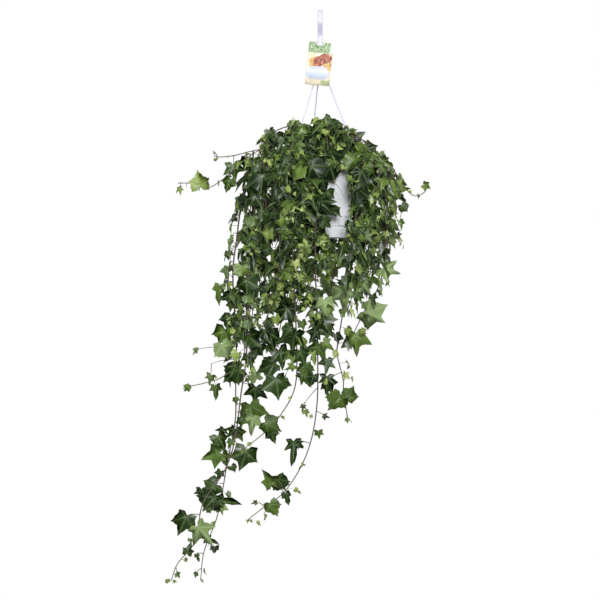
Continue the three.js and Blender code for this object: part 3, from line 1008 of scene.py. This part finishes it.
def grow_twig(shoot, start, bias):
    """A short side twig with a few young leaves."""
    out = outward(start)
    level = Vector((-out.y, out.x, 0)) * luck.choice((-1, 1))
    length = luck.uniform(26, 58) * MM
    bend = start + (level * 0.7 + out * 0.4 + jitter(0.3)) * length * 0.5
    end = bend + (level * 0.3 + out * 0.1 + Vector((0, 0, -0.9)) + jitter(0.2)) * length * 0.6
    twig = bent(start, bend, end, [k / 7 for k in range(8)])
    grow_stem(shoot.stem, shoot.age, twig, 0.62 * MM, 0.35 * MM, 0.55, 1, 6)
    for k in range(2, 8):
        size = (20 - 1.4 * k) * MM * luck.uniform(0.7, 1.25)
        shape = "young" if k > 5 else "ivy"
        tone = tone_at(0.5 + k / 14, bias + 0.12)
        shoot.leaf(twig[k], 1 - 2 * (k % 2), size, 7 * MM * luck.uniform(0.7, 1.3), tone, 0.8, 0.9, shape)


growing = [grow_shoot(kind, route) for kind, route in shoots]

# The large single leaves in front, each where it hangs: x and z of its middle, its length, its turn
# from straight down (positive to the right) and its tone. Then its shape, if it isn't the common
# one, and -1 where its pale underside shows.
single_leaves = (
    (-177, -657, 22, 5, 0.39, "long"), (-113, -666, 34, -8, 0.17), (-119, -698, 40, 12, 0.43),
    (-118, -716, 34, -12, 0.62, "ivy", -1), (-83, -714, 32, 62, 0.31), (-82, -731, 22, 20, 0.17),
    (-152, -731, 20, -40, 0.21), (-140, -736, 22, 30, 0.39), (-171, -747, 27, 30, 0.29),
    (-186, -770, 36, -78, 0.45), (-166, -777, 24, 20, 0.5), (-130, -776, 37, -12, 0.25),
    (-190, -827, 32, -62, 0.25), (-189, -851, 37, -38, 0.14), (-166, -849, 30, 98, 0.19, "long"),
    (-170, -864, 20, 15, 0.78, "ivy", -1), (-231, -880, 38, -22, 0.19),
    (-199, -896, 38, 42, 0.6, "ivy", -1), (-189, -916, 20, 78, 0.19, "long"),
    (-224, -926, 19, 165, 0.29, "young"), (-211, -945, 13, 25, 0.39, "long"),
    (-241, -969, 12, 40, 0.39, "young"), (-214, -976, 10, -20, 0.39, "young"),
    (-45, -754, 40, 3, 0.14, "long"), (-35, -746, 14, 60, 0.19, "young"), (-86, -804, 28, -160, 0.45),
    (-67, -811, 28, 30, 0.19), (-57, -833, 20, 18, 0.19, "long"), (-81, -851, 25, 28, 0.43),
    (-111, -843, 10, -70, 0.39, "young"), (28, -675, 32, -30, 0.45), (50, -662, 26, 150, 0.39),
    (-25, -693, 13, 10, 0.75, "young"), (8, -699, 12, 70, 0.19, "young"), (15, -648, 24, 20, 0.14),
    (-151, -631, 36, -50, 0.21), (-89, -614, 38, -80, 0.12), (-74, -648, 39, 8, 0.25),
    (-114, -631, 30, -155, 0.55, "long", -1), (-26, -635, 28, 40, 0.33), (9, -642, 30, -4, 0.11, "long"),
    (62, -577, 44, 6, 0.55), (92, -532, 42, 55, 0.62, "ivy", -1), (68, -483, 36, -20, 0.58, "ivy", -1),
    (120, -454, 36, 66, 0.6, "ivy", -1), (41, -500, 38, 10, 0.5, "ivy", -1),
    (7, -515, 30, 5, 0.55, "ivy", -1), (5, -545, 40, 30, 0.15), (-46, -573, 42, -10, 0.13),
    (-85, -570, 34, 10, 0.17), (-169, -566, 34, -20, 0.5), (-138, -553, 38, 6, 0.27),
    (-176, -488, 26, -18, 0.45, "long"), (-162, -499, 20, -60, 0.17), (-143, -503, 24, 40, 0.14),
    (-123, -458, 28, 10, 0.6), (-165, -590, 30, 25, 0.5, "ivy", -1), (-30, -600, 34, 30, 0.23),
    (-8, -590, 34, -25, 0.35), (-209, -297, 32, -172, 0.78), (-149, -279, 30, 10, 0.3),
    (-158, -303, 22, -20, 0.36), (137, -311, 30, 80, 0.75), (-110, -590, 30, -30, 0.21),
    (-66, -600, 32, 20, 0.17), (22, -268, 26, -15, 0.12), (38, -273, 28, 12, 0.02),
    (54, -281, 26, 20, 0.1), (10, -284, 24, -8, 0.36), (30, -283, 18, 10, 0.12), (6, -303, 24, 8, 0.1),
    (9, -327, 24, -12, 0.3), (6, -351, 22, 5, 0.16), (-10, -366, 24, 5, 0.1), (66, -302, 26, 8, 0),
    (63, -333, 24, -50, 0.03), (67, -362, 28, -5, 0), (-10, -313, 26, -10, 0.34),
    (-12, -342, 26, 10, 0.08), (-190, -640, 16, -20, 0.4), (-226, -653, 14, -50, 0.5, "young"),
    (-216, -592, 14, -40, 0.5, "young"), (-60, -640, 12, -10, 0.29, "young"),
    (-30, -684, 12, -10, 0.29, "young"), (45, -708, 9, 10, 0.7, "young"), (184, -307, 15, 60, 0.6),
    (-245, -313, 14, -60, 0.7), (138, -373, 16, 20, 0.5, "young"), (143, -345, 16, 40, 0.3),
    (65, -228, 34, 60, 0.08), (86, -246, 28, 50, 0.1), (-80, -224, 30, -20, 0.05),
    (14, -197, 26, -30, 0.05), (-40, -207, 22, -20, 0.06), (-129, -266, 22, -10, 0.04),
)

# Bare side twigs that stick out of the bush: x and z where each leaves its stem and where it ends.
single_twigs = (
    (-43, -596, -61, -634), (-18, -648, -30, -681), (39, -657, 45, -706), (-176, -589, -219, -590),
    (-153, -605, -188, -614), (-180, -262, -188, -244), (110, -350, 142, -346), (124, -380, 143, -404),
    (-98, -228, -111, -262),
)
stem_places = [(shoot, point) for shoot in growing for point in shoot.points
               if point.y < 0.01 and point.z < rim_top + 20 * MM]


def nearest_stem(x, z):
    """The shoot and the point of its stem nearest to a place in front, a little sooner one behind."""
    return min(stem_places, key=lambda place: math.hypot(place[1].x - x, place[1].z - z) - place[1].y * 0.25)


for start_x, start_z, end_x, end_z in single_twigs:
    shoot, start = nearest_stem(start_x * MM, start_z * MM)
    end = Vector((end_x * MM, start.y - 8 * MM, end_z * MM))
    middle = start.lerp(end, 0.5) + Vector((0, -8, 5)) * MM
    twig = bent(start, middle, end, [k / 8 for k in range(9)])
    grow_stem(shoot.stem, shoot.age, twig, 0.8 * MM, 0.45 * MM, 0.3, 1, 6)
    stem_places += [(shoot, point) for point in twig]


def hang_leaf(x, z, length, turn, tone, shape="ivy", shown=1):
    """One single leaf, on a stalk from the nearest stem that hangs in front."""
    turn = math.radians(turn)
    tip = Vector((math.sin(turn), luck.uniform(-0.15, 0.1), -math.cos(turn)))
    middle = Vector((x * MM, 0, z * MM))
    base = middle - tip * length * 0.3 * MM
    shoot, stem = nearest_stem(base.x, base.z + 6 * MM)
    base.y = stem.y - luck.uniform(6, 11) * MM
    facing = Vector((0, -shown, 0.25)) + jitter(0.42)
    bend = stem.lerp(base, 0.55) + Vector((0, -3, 5)) * MM
    stalk = bent(stem, bend, base, (0, 0.25, 0.5, 0.75, 1))
    grow_stem(shoot.stem, shoot.age, stalk, 0.75 * MM, 0.5 * MM, 0.35, 0.9, 6)
    add_blade(shoot.blades, shoot.tone, base, tip, facing, length * MM, tone, shape)


for single_leaf in single_leaves:
    hang_leaf(*single_leaf)

blade_thickness = 0.35 * MM
for number, shoot in enumerate(growing, 1):
    node = "ivy_shoot_%02d" % number
    finish_piece(node + "_stem", shoot.stem, [stem_skin], "ivy", node)
    blades = finish_piece(node + "_leaves", shoot.blades, [upper_skin, under_skin], "ivy", node)
    thicken = blades.modifiers.new("blade", "SOLIDIFY")
    thicken.thickness = blade_thickness
    thicken.offset = -1
    thicken.material_offset = 1
    thicken.material_offset_rim = 0
bpy.data.meshes.remove(blank)

# ------------------------------------------------
# Studio. A round sheet of pale paper far below the longest vine, a white surround, and five soft
# boxes aimed at the middle of the plant: a near-frontal key, one from above, two sides and a back.

floor_radius = 0.6
floor_drop = 1.2
plant_middle = Vector((0, 0, -0.45))

bm = bmesh.new()
bmesh.ops.create_circle(bm, cap_ends=True, segments=96, radius=floor_radius)
bmesh.ops.translate(bm, verts=bm.verts[:], vec=(0, 0, pot_low.z - floor_drop))
floor_mesh = bpy.data.meshes.new("studio_floor")
bm.to_mesh(floor_mesh)
bm.free()
floor_mesh.materials.append(Surface("studio_paper", (0.94, 0.94, 0.94), 0.8).material)
studio_floor = bpy.data.objects.new("studio_floor", floor_mesh)
bpy.context.scene.collection.objects.link(studio_floor)

# The surround looks white, and lights the plant only faintly.
world = bpy.data.worlds.new("studio")
bpy.context.scene.world = world
world.use_nodes = True
nodes = world.node_tree.nodes
links = world.node_tree.links
seen = nodes["Background"]
seen.inputs["Color"].default_value = (1, 1, 1, 1)
seen.inputs["Strength"].default_value = 1.0
sky = nodes.new("ShaderNodeBackground")
sky.inputs["Color"].default_value = (0.95, 0.97, 1, 1)
sky.inputs["Strength"].default_value = 0.07
blend = nodes.new("ShaderNodeMixShader")
links.new(nodes.new("ShaderNodeLightPath").outputs["Is Camera Ray"], blend.inputs[0])
links.new(sky.outputs[0], blend.inputs[1])
links.new(seen.outputs[0], blend.inputs[2])
links.new(blend.outputs[0], nodes["World Output"].inputs["Surface"])


def soft_light(name, place, size, power):
    """A square soft box aimed at the middle of the plant."""
    data = bpy.data.lights.new(name, "AREA")
    data.shape = "SQUARE"
    data.size = size
    data.energy = power
    light = bpy.data.objects.new(name, data)
    light.location = place
    light.rotation_euler = (plant_middle - Vector(place)).to_track_quat("-Z", "Y").to_euler()
    bpy.context.scene.collection.objects.link(light)


soft_light("key", (0.15, -3.1, 0.05), 0.5, 88)
soft_light("high", (-0.5, -1.9, 1.7), 0.6, 52)
soft_light("left", (-2.7, 0.4, 0.3), 1.2, 56)
soft_light("right", (2.7, 0.6, 0.3), 1.2, 62)
soft_light("back", (0.3, 2.9, 0.6), 1.4, 88)

camera_data = bpy.data.cameras.new("camera")
camera = bpy.data.objects.new("camera", camera_data)
bpy.context.scene.collection.objects.link(camera)
camera_data.lens = 110
camera.location = (-0.035, -3.2, -0.504)
camera.rotation_euler = (math.radians(90), 0, 0)
bpy.context.scene.camera = camera
bpy.context.scene.view_settings.view_transform = "Standard"
